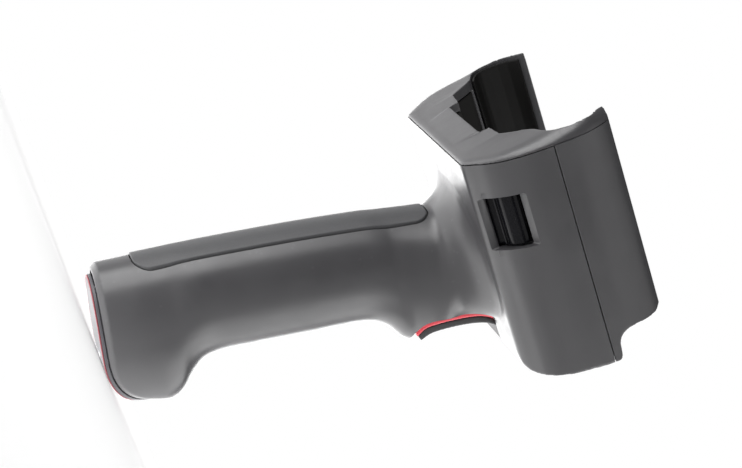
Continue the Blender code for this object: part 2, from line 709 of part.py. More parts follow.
def make_carrier():
    """The bracket under the cradle floor that holds the trigger's pin, spring and switch board."""
    low, high = CARRIER_BACK_X
    carrier = box("trigger_carrier", (low, -9.3, -33.6), (high, 9.3, -8.0))
    join(carrier, box("carrier_shoulder", (low, -11.6, -20.0), (high, 11.6, -8.2)))
    cheek = [(low + 0.2, -19.8), (low + 0.2, -8.2), (24.0, -3.6), (31.0, -3.6), (31.0, -9.0), (22.0, -12.0)]
    for side, tag in ((1, "left"), (-1, "right")):
        span = sorted((side * 9.95, side * 11.5))
        join(carrier, prism("carrier_cheek_" + tag, cheek, *span, "Y"))
    join(carrier, box("carrier_flange", (2.6, -10.4, -9.3), (low + 0.8, 10.4, -7.8)))
    x, z = PIVOT
    cut(carrier, cylinder("carrier_bore", (x, -14, z), (x, 14, z), PIN_R + 0.2, 20))
    for side in (1, -1):
        place = (CARRIER_SCREW_X, side * CARRIER_SCREW_Y)
        cut(carrier, cylinder(f"flange_hole_{side}", (*place, -11), (*place, -7), 1.4, 16))
        y, z = side * BOARD_SCREW_Y, BOARD_SCREW_Z
        cut(carrier, cylinder(f"board_hole_{side}", (9, y, z), (13, y, z), 1.05, 16))
    finish(carrier, "nylon")


def make_switch_board():
    board = box("trigger_board", (11.9, -8.4, -25.2), (13.1, 8.4, -9.6))
    for side, tag in ((1, "left"), (-1, "right")):
        y, z = side * BOARD_SCREW_Y, BOARD_SCREW_Z
        cut(board, cylinder("board_eye_" + tag, (11, y, z), (14, y, z), 1.1, 16))
        screw("board_screw_" + tag, (13.4, y, z), (-1, 0, 0), (1.1, 1.9), (3.0, 0.8))
        place = (CARRIER_SCREW_X, side * CARRIER_SCREW_Y, -9.6)
        screw("carrier_screw_" + tag, place, (0, 0, 1), (1.3, 2.1), (6.4, 0.9))
    finish(board, "board")
    switch = box("trigger_switch", (13.4, -3.4, PLUNGER_Z - 3.2), (20.4, 3.4, PLUNGER_Z + 3.2))
    cut(switch, cylinder("switch_well", (15.4, 0, PLUNGER_Z), (22, 0, PLUNGER_Z), 1.4, 16))
    finish(switch, "nylon")
    plunger = cylinder("switch_plunger", (17.6, 0, PLUNGER_Z), (23.7, 0, PLUNGER_Z), 1.1, 16)
    finish(origin_at(plunger, (17.6, 0, PLUNGER_Z)), "latch")


def make_ribbon():
    """A flat flexible cable from the switch board up to the contact strip."""
    path = smooth([(13.7, -11.3), (13.7, -9.0), (15.0, -5.4), (18.6, -3.9), (23.4, -3.6)], 4)
    outline = path + offset(path, -0.4)[::-1]
    finish(prism("ribbon_cable", outline, -3.0, 3.0, "Y"), "ribbon")


def make_foot():
    """The dark sole, which wraps round the toe, and the thin red line round its underside."""
    plate = sole_layer("foot_plate", PLATE_THICK, ACCENT_THICK + GAP, PLATE_INSET)
    join(plate, sole_layer("foot_core", PLATE_THICK - 0.2, 0.0, CORE_INSET))
    accent = sole_layer("foot_accent", ACCENT_THICK, 0.0, ACCENT_INSET)
    inside = ACCENT_INSET + ACCENT_WIDTH
    cut(accent, sole_layer("accent_hole", ACCENT_THICK + 1, -1.0, inside))
    up = Vector((math.sin(RAKE), 0, math.cos(RAKE)))
    for tag, u in zip(("back", "front"), FOOT_SCREW_U):
        cut(plate, grip_cylinder("foot_pocket_" + tag, u, (FOOT_W - 1, FOOT_W + 0.6), 2.6))
        span = (FOOT_W - 1, FOOT_W + PLATE_THICK + 1)
        cut(plate, grip_cylinder("foot_hole_" + tag, u, span, 1.4, sides=16))
        x, z = grip_point(u, FOOT_W + 0.5)
        screw("foot_screw_" + tag, (x, 0, z), up, (0.4, 2.3), (8.5, 1.05))
    finish(plate, "rubber")
    finish(accent, "red")


make_housing()
make_upper_frame()
make_liner()
make_cheek_pads()
make_contacts()
make_cradle_screws()
make_rim_screws()
make_latches()
make_latch_springs()
make_carrier()
make_trigger()
make_switch_board()
make_ribbon()
make_back_strap()
make_foot()
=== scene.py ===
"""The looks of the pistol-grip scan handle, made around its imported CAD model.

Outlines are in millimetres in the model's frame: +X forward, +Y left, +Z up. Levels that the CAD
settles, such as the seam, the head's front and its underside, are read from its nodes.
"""

import json
import math

import bmesh
import bpy
import numpy as np
from mathutils import Euler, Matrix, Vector


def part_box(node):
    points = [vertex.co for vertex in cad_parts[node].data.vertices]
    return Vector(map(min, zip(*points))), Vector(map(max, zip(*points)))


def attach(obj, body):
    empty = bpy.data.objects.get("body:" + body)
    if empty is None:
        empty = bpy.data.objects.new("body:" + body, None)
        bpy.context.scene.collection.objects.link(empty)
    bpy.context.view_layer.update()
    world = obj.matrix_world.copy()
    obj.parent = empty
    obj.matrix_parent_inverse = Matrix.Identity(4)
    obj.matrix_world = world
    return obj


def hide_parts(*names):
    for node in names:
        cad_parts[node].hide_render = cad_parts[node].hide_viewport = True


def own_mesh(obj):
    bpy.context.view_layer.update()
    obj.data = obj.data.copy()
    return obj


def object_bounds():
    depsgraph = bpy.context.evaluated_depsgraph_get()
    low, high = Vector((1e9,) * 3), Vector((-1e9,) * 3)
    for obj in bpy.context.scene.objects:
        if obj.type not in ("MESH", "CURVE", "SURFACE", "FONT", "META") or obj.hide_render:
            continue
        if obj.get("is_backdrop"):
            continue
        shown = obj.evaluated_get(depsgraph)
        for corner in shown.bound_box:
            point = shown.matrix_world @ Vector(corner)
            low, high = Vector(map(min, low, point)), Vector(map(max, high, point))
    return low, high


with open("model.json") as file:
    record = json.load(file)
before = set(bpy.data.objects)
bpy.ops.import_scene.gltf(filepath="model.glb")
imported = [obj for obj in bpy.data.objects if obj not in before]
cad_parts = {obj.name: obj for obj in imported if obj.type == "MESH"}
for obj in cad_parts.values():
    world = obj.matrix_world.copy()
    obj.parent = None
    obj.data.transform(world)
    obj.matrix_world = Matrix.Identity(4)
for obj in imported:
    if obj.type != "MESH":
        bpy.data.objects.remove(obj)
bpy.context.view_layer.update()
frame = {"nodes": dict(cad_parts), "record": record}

MM = 0.001
GAP = 0.3  # between the housing and the pieces that meet it
FAR = 60.0  # past the object in every direction but the grip's


def node_box(name):
    """A CAD node's lowest and highest corners, in millimetres."""
    low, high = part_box(name)
    return np.array(low) / MM, np.array(high) / MM


HOUSING_HIGH = node_box("main_housing")[1]
FRAME_LOW, FRAME_HIGH = node_box("upper_frame")
SEAM_Z = HOUSING_HIGH[2]
HEAD_FRONT_X = HOUSING_HIGH[0]
UNDER_Z = FRAME_LOW[2]
TIP_Z = FRAME_HIGH[2]
HEAD_HALF = FRAME_HIGH[1]

# Head section, y outwards and z, from the underside's corner up to the wall's free edge
WALL = 2.3
WALL_KEYS = [
    (30.4, UNDER_Z), (31.7, -11.55), (32.9, -10.75), (35.2, -8.6), (38.2, -5.6), (41.4, -1.0),
    (43.3, 4.5), (44.4, 11.0), (44.9, 18.0), (HEAD_HALF, 23.0), (44.4, 27.5), (43.1, 31.2),
    (41.6, 34.2), (40.2, TIP_Z),
]
FLOOR = [(0, 0), (16.6, 0), (17.2, 3.7), (25.9, 4.4), (31.4, 11.2), (32.8, 12.6)]
LINER_SEAT = 1.8  # the seat's depth below the floor
SHOULDER_SEAT = [(33.7, 10.9), (34.6, 11.9), (37.5, 13.0), (40.3, 14.7), (42.0, 15.2), (42.0, 30.0)]
SHOULDER_UNDER = [(41.5, SEAM_Z + GAP), (40.2, 15.2), (37.4, 13.4), (34.2, 12.2)]
CAVITY_FRONT_X = 42.4
CREASE_X = -30.7  # where the rim's rounding starts
CREASE_HALF, CREASE_DEPTH = 0.16, 0.28
RIM_BACK_X, RIM_LEAN = -33.9, 0.035  # the rim's inner edge: x = RIM_BACK_X - RIM_LEAN * z
RIM_EDGE_X, RIM_EDGE_LEAN = -32.6, 0.095  # the edge between its flat face and its rounding
RIM_BEND_OUT, RIM_BEND_BACK = 0.14, 0.74  # the rounding's middle, as shares of its way in and back
RIM_KEYS = [  # a point of the wall, the flat face's outer edge beside it, and its inner edge
    ((0, UNDER_Z), (0, -8.8), (0, 0)),
    ((14, UNDER_Z), (14, -8.8), (16.6, 0)),
    ((16, UNDER_Z), (16, -8.8), (17.2, 3.7)),
    ((25.5, UNDER_Z), (25.0, -8.6), (25.9, 4.4)),
    ((31.9, -11.5), (29.2, -7.6), (28.2, 7.2)),
    ((34.6, -9.2), (32.3, -5.9), (30.2, 9.8)),
    ((37.4, -6.5), (34.9, -3.1), (31.4, 11.2)),
    ((40.2, -2.9), (37.5, -0.1), (32.8, 12.6)),
    ((42.2, 1.2), (38.7, 2.8), (34.2, 13.6)),
    ((43.5, 5.6), (39.4, 5.6), (36.0, 14.3)),
    ((44.2, 9.6), (39.75, 8.8), (37.6, 14.9)),
    ((44.6, 13.5), (39.95, 12.6), (39.0, 15.7)),
    ((44.85, 17.0), (40.7, 16.2), (40.3, 16.7)),
    ((44.95, 19.5), (41.7, 18.7), (41.5, 18.6)),
    ((45.0, 23.0), (42.75, 22.4), (42.6, 22.3)),
    ((44.7, 26.2), (42.85, 26.1), (42.7, 26.0)),
    ((43.7, 29.8), (42.1, 29.95), (41.9, 29.8)),
    ((42.9, 31.7), (40.9, 31.75), (40.7, 31.6)),
    ((41.7, 34.0), (39.4, 33.6), (39.2, 33.5)),
    ((40.2, TIP_Z), (38.9, 35.4), (38.6, 35.4)),
]
FRONT_NOTCH = [  # x and z
    (33.6, 37.5), (35.4, 35.6), (36.7, 34.0), (37.15, 31.5), (37.15, 24.4), (37.7, 22.0),
    (39.0, 20.0), (41.2, 18.8), (45.2, 18.4), (46.7, 17.8), (HEAD_FRONT_X - 0.1, 16.8),
    (HEAD_FRONT_X, 15.0),
]
CHIN = [
    (HEAD_FRONT_X + 1.0, 20.0), (HEAD_FRONT_X - 0.1, 12.0), (46.7, 1.9), (45.9, -6.0), (44.4, -9.4),
    (41.6, -11.3), (38.0, UNDER_Z),
]

# Grip: u forward and w up along a raked axis
RAKE = math.radians(11.4)
GRIP_ORIGIN = (-1.0, -60.4)
GRIP_WALL = 2.4
RING_POINTS, RING_STEPS = 112, 7
RING_POWER = 0.86  # below 1 the section is squarer than an ellipse
GRIP_KEYS = [  # w, back u, front u, half width
    (-79.0, -17.2, 31.4, 14.6),
    (-68.8, -17.4, 31.8, 14.8),
    (-62.6, -17.7, 32.3, 15.0),
    (-56.5, -17.9, 32.4, 15.0),
    (-52.0, -18.0, 30.2, 14.9),
    (-48.0, -18.1, 24.4, 14.8),
    (-44.0, -18.1, 20.4, 14.7),
    (-39.0, -18.2, 18.7, 14.5),
    (-27.0, -18.3, 18.3, 14.4),
    (-8.0, -18.3, 18.2, 14.3),
    (10.0, -17.9, 18.2, 14.2),
    (15.4, -17.7, 19.4, 14.3),
    (18.8, -17.4, 21.5, 14.4),
    (21.4, -17.2, 24.3, 14.5),
    (23.5, -17.1, 26.6, 14.8),
    (25.8, -16.9, 27.8, 15.2),
    (28.6, -16.7, 28.0, 15.6),
    (32.4, -16.4, 28.0, 16.3),
    (37.0, -16.2, 28.2, 17.4),
]
NECK_KEYS = [  # back x and z, front x and z, half width
    (-9.9, -18.6, 30.6, -23.0, 19.0),
    (-11.6, -15.2, 31.8, -17.5, 21.8),
    (-14.6, -12.7, 33.0, -13.6, 25.6),
    (-19.0, -11.2, 34.0, -11.2, 29.6),
    (-19.0, -9.6, 34.0, -9.6, 29.6),
]
SOLE_KEYS = [  # u and w of the sole's outer line, from behind the heel round the toe
    (-26.0, -76.6), (-10.0, -76.6), (8.0, -76.6), (14.0, -76.4), (19.0, -75.5), (23.6, -73.6),
    (27.4, -70.8), (30.2, -67.2), (31.9, -63.0), (34.0, -55.0),
]
SOLE_THICK, ACCENT_THICK = 1.7, 0.45
PLATE_INSET, ACCENT_INSET, CORE_INSET = 1.15, 1.3, 2.3  # from the grip's skin
ACCENT_INSIDE, HEEL_INSET = 2.2, 2.4
COLLARS = ((0.35, 1.2), (0.75, 0.95), (1.15, 0.65), (1.55, 0.3))  # each step's height and inset
STRAP_W = (-62.0, 36.0)
STRAP_HALF, STRAP_CORNER = 8.3, 5.2
STRAP_PROUD, STRAP_DEPTH = 0.55, 1.2

# Trigger, in the side view
TRIGGER_FACE = [
    (29.2, -38.4), (27.6, -35.0), (27.6, -30.4), (28.5, -24.2), (29.5, -19.3), (30.9, -15.2),
    (33.2, -11.9), (36.2, -9.8),
]
TRIGGER_REAR = [
    (33.0, -8.8), (30.4, -7.6), (29.0, -4.4), (25.6, -4.6), (24.4, -8.0), (24.1, -14.0),
    (23.5, -24.0), (23.4, -34.0), (25.2, -38.4),
]
PAD_FRONT = [
    (37.0, -10.9), (34.7, -13.5), (32.8, -17.9), (31.4, -23.6), (30.5, -29.6), (30.3, -33.6),
    (31.3, -37.4),
]
PAD_FOOT = (29.5, -37.9)
SLOT_OUTLINE = [
    (14, -39.4), (36, -39.4), (44, -32), (44, -12.4), (39.6, -9.0), (24, -9.0), (14, -16),
]
SLOT_HALF = 9.8
TRIGGER_SIDE = [  # the housing's edge beside the trigger
    (27.0, -39.1), (24.6, -35.8), (24.1, -31.6), (24.6, -27.1), (26.0, -20.3), (27.1, -16.3),
    (29.0, -13.4), (31.0, -12.2),
]
BESIDE_LOW, BESIDE_TOP = -40.6, -11.9  # how far that edge's cut reaches
PIVOT_X, PIVOT_Z, TRIGGER_EYE_R = 27.5, -6.8, 1.7
SPRING_WELL = (21.0, -3.2, -34.2), (24.6, 3.2, -27.8)

# Side window: t runs up the slanted wall from LOW_EDGE, h points out of it
LOW_EDGE, HIGH_EDGE = np.array((35.1, -9.2)), np.array((42.9, 3.1))
WINDOW_X, WINDOW_EASE = (-18.8, -0.4), 0.7
WINDOW_HOLE = [
    (0.0, -7.0), (0.0, -2.1), (-4.2, 0.2), (-4.2, 6.0), (17.4, 6.0), (17.4, 1.8), (11.1, -2.2),
    (11.1, -7.0),
]

# Latches, y outwards and z, but for the button, which is in the window's t and h
LATCH_Y, LATCH_Z, LATCH_EYE_R = 34.8, 1.2, 1.3
LATCH_HUB = [(33.4, -1.2), (36.9, -1.2), (38.2, 1.2), (36.4, 3.4), (33.2, 3.0)]
LATCH_ARM = [
    (33.2, 0.4), (36.6, 1.0), (35.4, 5.6), (33.0, 10.9), (30.3, 10.6), (31.8, 8.4), (32.2, 4.6),
]
LATCH_ARM_X = (-14.0, -5.2)
BUTTON_FACE = [(3.9, -2.1), (5.2, -1.2), (7.0, -0.9), (9.0, -1.1), (10.7, -2.2)]
BUTTON_BACK = [
    (10.6, -4.6), (7.4, -5.6), (4.4, -5.8), (0.8, -4.9), (-0.6, -4.3), (-0.6, -3.6), (2.7, -3.4),
    (2.6, -1.9), (3.3, -1.8), (3.5, -2.6),
]
LATCH_RIB = [(31.6, -9.6), (35.0, -9.0), (37.2, -6.5), (37.2, 3.6), (32.6, 3.6), (31.6, 1.2)]
LATCH_RIB_SPANS = (-20.6, -19.0), (-0.2, 1.4)

# The bosses under the cradle's floor, for its screws
SCREW_X, SCREW_Y = (-22.5, 37.4), 12.8
BOSS_R, BOSS_BORE_R = 3.0, 1.35
CYLINDER_SIDES = 32


# ---------------------------------------------------------------- mesh helpers


def smooth(keys, steps=6):
    """Points of a centripetal Catmull-Rom curve through the keys."""
    keys = np.array(keys, float)
    ends = np.vstack([2 * keys[0] - keys[1], keys, 2 * keys[-1] - keys[-2]])
    rows = []
    for a, b, c, d in zip(ends, ends[1:], ends[2:], ends[3:]):
        before, span, after = (np.linalg.norm(q - p) ** 0.5 for p, q in ((a, b), (b, c), (c, d)))
        leaving = (b - a) / before - (c - a) / (before + span) + (c - b) / span
        arriving = (c - b) / span - (d - b) / (span + after) + (d - c) / after
        for t in np.linspace(0, 1, steps, endpoint=False):
            rows.append(
                b * (2 * t**3 - 3 * t**2 + 1) + c * (3 * t**2 - 2 * t**3)
                + span * (leaving * (t**3 - 2 * t**2 + t) + arriving * (t**3 - t**2))
            )
    rows.append(keys[-1])
    return np.array(rows)


def lengths(points):
    return np.concatenate([[0.0], np.cumsum(np.linalg.norm(np.diff(points, axis=0), axis=1))])


def mesh_object(name, points, faces):
    mesh = bpy.data.meshes.new(name)
    mesh.from_pydata((np.asarray(points) * MM).tolist(), [], faces)
    bm = bmesh.new()
    bm.from_mesh(mesh)
    bmesh.ops.recalc_face_normals(bm, faces=bm.faces)
    if bm.calc_volume(signed=True) < 0:
        bmesh.ops.reverse_faces(bm, faces=bm.faces)
    bm.to_mesh(mesh)
    bm.free()
    obj = bpy.data.objects.new(name, mesh)
    bpy.context.scene.collection.objects.link(obj)
    return obj


def loft(name, rings):
    """A closed skin over rings of points, each with as many points as the next."""
    rings = np.array(rings, float)
    count, size = rings.shape[:2]
    index = np.arange(count * size).reshape(count, size)
    after = np.roll(index, -1, axis=1)
    faces = np.stack([index[:-1], after[:-1], after[1:], index[1:]], -1).reshape(-1, 4).tolist()
    faces += [index[0][::-1].tolist(), index[-1].tolist()]
    return mesh_object(name, rings.reshape(-1, 3), faces)


def lift(outline, level, axis):
    """A flat outline placed at a level along X (outline in y, z), Y (x, z) or Z (x, y)."""
    a, b = np.array(outline, float).T
    c = np.full(len(a), float(level))
    return np.stack({"X": (c, a, b), "Y": (a, c, b), "Z": (a, b, c)}[axis], -1)


def prism(name, outline, low, high, axis):
    return loft(name, [lift(outline, low, axis), lift(outline, high, axis)])


def box(name, low, high):
    outline = [(low[0], low[1]), (high[0], low[1]), (high[0], high[1]), (low[0], high[1])]
    return prism(name, outline, low[2], high[2], "Z")


def cylinder(name, start, end, radius):
    start, end = np.array(start, float), np.array(end, float)
    along = Vector(end - start).normalized()
    first = along.orthogonal().normalized()
    second = along.cross(first)
    turns = np.linspace(0, math.tau, CYLINDER_SIDES, endpoint=False)[:, None]
    ring = radius * (np.cos(turns) * np.array(first) + np.sin(turns) * np.array(second))
    return loft(name, [start + ring, end + ring])


def apply(obj):
    """Makes the object's modifiers part of its mesh."""
    evaluated = obj.evaluated_get(bpy.context.evaluated_depsgraph_get())
    mesh = bpy.data.meshes.new_from_object(evaluated)
    obj.modifiers.clear()
    old, obj.data = obj.data, mesh
    bpy.data.meshes.remove(old)
    return obj


def combine(obj, other, operation="DIFFERENCE"):
    """Cuts other out of obj, or joins it on, and removes other."""
    step = obj.modifiers.new("combine", "BOOLEAN")
    step.operation = operation
    step.solver = "MANIFOLD"
    step.object = other
    apply(obj)
    bpy.data.objects.remove(other)
    return obj


def soften(obj, voxel, rounds):
    """Rebuilds the skin in small even faces and eases its edges."""
    skin = obj.modifiers.new("skin", "REMESH")
    skin.mode = "VOXEL"
    skin.voxel_size = voxel * MM
    ease = obj.modifiers.new("ease", "SMOOTH")
    ease.factor = 0.5
    ease.iterations = rounds
    return apply(obj)


def bevel(obj, width, angle):
    step = obj.modifiers.new("edges", "BEVEL")
    step.width = width * MM
    step.segments = 4
    step.limit_method = "ANGLE"
    step.angle_limit = math.radians(angle)
    return apply(obj)


def shade(obj, angle):
    """Shades obj smooth, with creases only at edges that turn by more than angle."""
    obj.data.shade_smooth()
    obj.data.set_sharp_from_angle(angle=math.radians(angle))
    return obj


def mirrored(points):
    return np.array(points) * (-1, 1)


def both_sides(half):
    """A closed outline from its left half, without its points on the centre line."""
    half = np.array([p for p in half if p[0] > 0.01])
    return np.vstack([half, mirrored(half)[::-1]])


def offset(points, distance):
    """An open outline moved to its left by distance."""
    points = np.array(points, float)
    tangent = np.gradient(points, axis=0)
    tangent /= np.linalg.norm(tangent, axis=1)[:, None]
    return points + np.stack([-tangent[:, 1], tangent[:, 0]], -1) * distance


# ---------------------------------------------------------------- outlines


def wall_half(inset=0.0):
    """The head's outer line from near the centre of its underside to the free edge."""
    flat = [(y, UNDER_Z) for y in np.linspace(1.5, 29.0, 12)]
    points = np.vstack([flat, smooth(WALL_KEYS, 5)])
    return offset(points, inset) if inset else points


def cut_at(points, top):
    """The outline up to the level top."""
    last = np.argmax(points[:, 1] > top)
    before, after = points[last - 1], points[last]
    share = (top - before[1]) / (after[1] - before[1])
    return np.vstack([points[:last], before + share * (after - before)])


def rim_half():
    """The wall line, the flat face's outer edge and its inner edge, station by station."""
    wall = np.vstack([[(0.0, UNDER_Z)], wall_half()])
    along = lengths(wall)
    keys = np.array(RIM_KEYS, float)
    places = [along[np.argmin(np.linalg.norm(wall - key[0], axis=1))] for key in keys]
    places[0], places[-1] = 0.0, along[-1]
    stations = np.unique(np.round(np.concatenate([np.arange(0, along[-1], 0.7), places]), 4))
    lines = []
    for column in range(3):
        source, at = (wall, along) if column == 0 else (keys[:, column], places)
        lines.append(np.stack([np.interp(stations, at, source[:, i]) for i in range(2)], -1))
    kernel = np.ones(9) / 9  # the flat face's outer edge has no corners
    edge = lines[1]
    for i in range(2):
        padded = np.pad(edge[:, i], 4, mode="reflect", reflect_type="odd")
        edge[:, i] = np.convolve(padded, kernel, mode="valid")
    return lines


def grip_point(u, w):
    x, z = GRIP_ORIGIN
    return x + u * math.cos(RAKE) + w * math.sin(RAKE), z - u * math.sin(RAKE) + w * math.cos(RAKE)


def grip_specs():
    """The rings up the grip and the neck: back x and z, front x and z, and half width."""
    rows = [(*grip_point(u, w), *grip_point(v, w), half) for w, u, v, half in GRIP_KEYS]
    return smooth(rows + NECK_KEYS, RING_STEPS)


def grip_ring(spec, inset=0.0, back_inset=0.0):
    back = np.array((spec[0], 0.0, spec[1]))
    front = np.array((spec[2], 0.0, spec[3]))
    along = (front - back) / np.linalg.norm(front - back)
    back, front = back + along * (inset + back_inset), front - along * inset
    turns = np.linspace(0, math.tau, RING_POINTS, endpoint=False)
    c, s = np.cos(turns), np.sin(turns)
    c, s = (np.sign(v) * np.abs(v) ** RING_POWER for v in (c, s))
    middle, reach = (back + front) / 2, (front - back) / 2
    return middle + reach * c[:, None] + np.array((0, spec[4] - inset, 0)) * s[:, None]


def grip_skin(name, inset=0.0, back_inset=0.0, top=None):
    """The grip and neck as one solid, inside the skin by inset, and flat at the level top."""
    rings = [grip_ring(spec, inset, back_inset) for spec in grip_specs()]
    if top is not None:
        rings.append(rings[-1] * (1, 1, 0) + (0, 0, top))
    return loft(name, rings)


def sole_zone(name, raised, lowered=None):
    """All that lies under the sole's outer line raised by raised, or a layer down to lowered."""
    line = smooth(SOLE_KEYS, 6)
    top = offset(line, raised)
    if lowered is None:
        deep = -100.0
        under = np.array([(FAR, top[-1][1]), (FAR, deep), (-FAR, deep), (-FAR, top[0][1])])
    else:
        under = offset(line, lowered)[::-1]
    outline = [grip_point(u, w) for u, w in np.vstack([top, under])]
    return prism(name, outline, -FAR / 2, FAR / 2, "Y")


def strap_outline(margin=0.0):
    """The long rounded outline of the back strap, seen from behind, in y and z."""
    low, high = (grip_point(-18, w)[1] for w in STRAP_W)
    across, radius = STRAP_HALF - STRAP_CORNER, STRAP_CORNER + margin
    corners = ((across, high), (-across, high), (-across, low), (across, low))
    points = []
    for turn, (y, z) in enumerate(corners):
        z += STRAP_CORNER if z == low else -STRAP_CORNER
        for angle in np.linspace(turn, turn + 1, 13) * (math.pi / 2):
            points.append((y + radius * math.cos(angle), z + radius * math.sin(angle)))
    return points


def on_window(points):
    """Points given by t up the slanted wall and h out of it, as y and z."""
    up = (HIGH_EDGE - LOW_EDGE) / np.linalg.norm(HIGH_EDGE - LOW_EDGE)
    out = np.array((up[1], -up[0]))
    return [tuple(LOW_EDGE + up * t + out * h) for t, h in points]


def one_side(points, side):
    return [(side * y, z) for y, z in points]


# ---------------------------------------------------------------- materials


class Nodes:
    """A material's node tree, with short calls for the nodes used here."""

    def __init__(self, name):
        self.material = bpy.data.materials.new(name)
        self.material.use_nodes = True
        self.tree = self.material.node_tree
        self.shader = self.tree.nodes["Principled BSDF"]

    def add(self, kind, **values):
        node = self.tree.nodes.new("ShaderNode" + kind)
        for key, value in values.items():
            setattr(node, key, value)
        return node

    def link(self, source, target):
        self.tree.links.new(source, target)

    def noise(self, scale, detail=2.0, roughness=0.5):
        place = self.add("TexCoord")
        node = self.add("TexNoise")
        self.link(place.outputs["Object"], node.inputs["Vector"])
        node.inputs["Scale"].default_value = scale
        node.inputs["Detail"].default_value = detail
        node.inputs["Roughness"].default_value = roughness
        return node.outputs["Fac"]

    def ramp(self, source, low, high, start=0.3, end=0.7):
        """Maps source between start and end onto low to high."""
        node = self.add("MapRange")
        self.link(source, node.inputs["Value"])
        limits = {"From Min": start, "From Max": end, "To Min": low, "To Max": high}
        for socket, value in limits.items():
            node.inputs[socket].default_value = value
        return node.outputs["Result"]

    def mix(self, share, first, second):
        """A colour between first and second, each a colour or a socket."""
        node = self.add("Mix", data_type="RGBA")
        self.link(share, node.inputs["Factor"])
        for value, socket in ((first, node.inputs["A"]), (second, node.inputs["B"])):
            if isinstance(value, tuple):
                socket.default_value = (*value, 1)
            else:
                self.link(value, socket)
        return node.outputs["Result"]

    def bumps(self, *layers):
        """Stacks bumps, each a height, its strength and its depth in millimetres."""
        last = None
        for height, strength, depth in layers:
            node = self.add("Bump")
            node.inputs["Strength"].default_value = strength
            node.inputs["Distance"].default_value = depth * MM
            self.link(height, node.inputs["Height"])
            if last:
                self.link(last, node.inputs["Normal"])
            last = node.outputs["Normal"]
        self.link(last, self.shader.inputs["Normal"])


def shade_of(colour, factor):
    """The colour made darker or lighter by factor."""
    return tuple(min(1.0, c * factor) for c in colour)


def plastic(name, colour, rough, grain=0.35, grain_depth=0.012, wear=1.5, specular=0.5):
    """Moulded plastic: fine spark texture, slow drift of tone and gloss, and rubbed edges."""
    m = Nodes(name)
    drift = m.noise(38.0, 3.0)
    fine = m.noise(1000.0 / grain, 2.0, 0.6)
    smudge = m.noise(120.0, 4.0, 0.65)
    body = m.mix(m.ramp(drift, 0, 1), shade_of(colour, 0.93), shade_of(colour, 1.08))
    body = m.mix(m.ramp(fine, 0, 0.35), body, shade_of(colour, 1.25))
    edges = m.add("NewGeometry").outputs["Pointiness"]
    body = m.mix(m.ramp(edges, 0, 0.45, 0.53, 0.62), body, shade_of(colour, wear))
    m.link(body, m.shader.inputs["Base Color"])
    gloss = m.add("Math", operation="ADD")
    m.link(m.ramp(smudge, rough - 0.045, rough + 0.045), gloss.inputs[0])
    m.link(m.ramp(fine, -0.03, 0.03), gloss.inputs[1])
    m.link(gloss.outputs[0], m.shader.inputs["Roughness"])
    m.bumps((fine, 0.35, grain_depth), (m.noise(260.0, 2.0), 0.12, 0.03))
    m.shader.inputs["Specular IOR Level"].default_value = specular
    return m.material


def rubber(name, colour, rough):
    """Soft-touch rubber: matt and stippled, with paler dust in the hollows of the stipple."""
    m = Nodes(name)
    cells = m.add("TexVoronoi")
    m.link(m.add("TexCoord").outputs["Object"], cells.inputs["Vector"])
    cells.inputs["Scale"].default_value = 2400.0
    drift = m.noise(60.0, 4.0, 0.6)
    body = m.mix(m.ramp(drift, 0, 1), shade_of(colour, 0.88), shade_of(colour, 1.14))
    body = m.mix(m.ramp(cells.outputs["Distance"], 0, 0.5, 0.3, 0.9), body, shade_of(colour, 1.5))
    m.link(body, m.shader.inputs["Base Color"])
    m.link(m.ramp(drift, rough - 0.05, rough + 0.06), m.shader.inputs["Roughness"])
    m.bumps((cells.outputs["Distance"], 0.3, 0.03), (m.noise(900.0, 3.0), 0.2, 0.02))
    m.shader.inputs["Sheen Weight"].default_value = 0.05
    return m.material


def metal(name, colour, rough):
    """Plated metal: fine drawn lines and tarnish in patches."""
    m = Nodes(name)
    stretch = m.add("Mapping")
    m.link(m.add("TexCoord").outputs["Object"], stretch.inputs["Vector"])
    stretch.inputs["Scale"].default_value = (1.0, 1.0, 0.12)
    lines = m.add("TexNoise")
    lines.inputs["Scale"].default_value = 900.0
    m.link(stretch.outputs["Vector"], lines.inputs["Vector"])
    patches = m.noise(700.0, 3.0)
    body = m.mix(m.ramp(patches, 0, 1), shade_of(colour, 0.8), colour)
    m.link(body, m.shader.inputs["Base Color"])
    m.link(m.ramp(lines.outputs["Fac"], rough - 0.06, rough + 0.1), m.shader.inputs["Roughness"])
    m.bumps((lines.outputs["Fac"], 0.15, 0.01), (patches, 0.1, 0.02))
    m.shader.inputs["Metallic"].default_value = 1.0
    return m.material


def board_laminate(name):
    """Green solder mask with paler copper tracks under it."""
    m = Nodes(name)
    tracks = m.add("TexBrick")
    m.link(m.add("TexCoord").outputs["Object"], tracks.inputs["Vector"])
    tracks.inputs["Scale"].default_value = 420.0
    tracks.inputs["Color1"].default_value = (0.015, 0.13, 0.05, 1)
    tracks.inputs["Color2"].default_value = (0.02, 0.16, 0.06, 1)
    tracks.inputs["Mortar"].default_value = (0.05, 0.27, 0.10, 1)
    m.link(tracks.outputs["Color"], m.shader.inputs["Base Color"])
    weave = m.noise(2500.0, 2.0)
    m.link(m.ramp(weave, 0.3, 0.45), m.shader.inputs["Roughness"])
    m.bumps((tracks.outputs["Fac"], 0.2, 0.03), (weave, 0.1, 0.01))
    return m.material


def gloss(name, colour):
    """Polished black plastic with faint rubbing and dust."""
    m = Nodes(name)
    haze = m.noise(420.0, 5.0, 0.7)
    dust = m.noise(3800.0, 1.0)
    body = m.mix(m.ramp(dust, 0, 0.25, 0.62, 0.75), colour, (0.05, 0.05, 0.055))
    m.link(body, m.shader.inputs["Base Color"])
    m.link(m.ramp(haze, 0.10, 0.22), m.shader.inputs["Roughness"])
    m.bumps((haze, 0.05, 0.02), (dust, 0.04, 0.005))
    m.shader.inputs["Specular IOR Level"].default_value = 0.12
    return m.material


